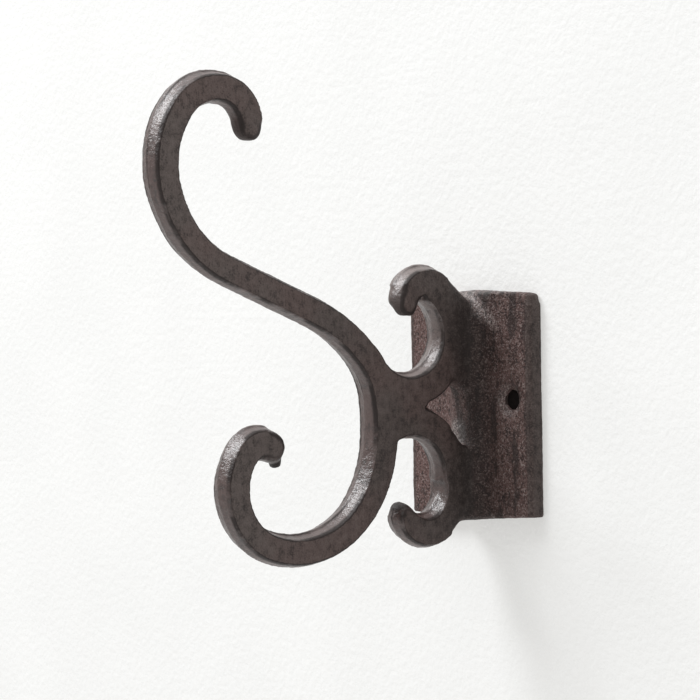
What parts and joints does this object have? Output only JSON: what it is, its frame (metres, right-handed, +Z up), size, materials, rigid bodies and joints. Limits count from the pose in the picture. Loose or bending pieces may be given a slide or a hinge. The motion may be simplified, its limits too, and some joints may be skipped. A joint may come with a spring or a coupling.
{
  "type": "coat hook",
  "caption": "Cast iron wall hook: a tall coat arm that curls over and a lower hook on one screw-on plate.",
  "frame": {"origin": "centre of the wall plate's back face, on the wall", "axes": "+Z up, +Y into the wall, -Y out into the room along the hook's reach, +X to the right as seen from the room"},
  "size_m": [0.0462, 0.0996, 0.1181],
  "materials": {
    "cast_iron": "waxed as-cast iron, dark brown-grey with a low sheen"
  },
  "bodies": {
    "root": {"coat_hook": "cast_iron"}
  },
  "joints": []
}
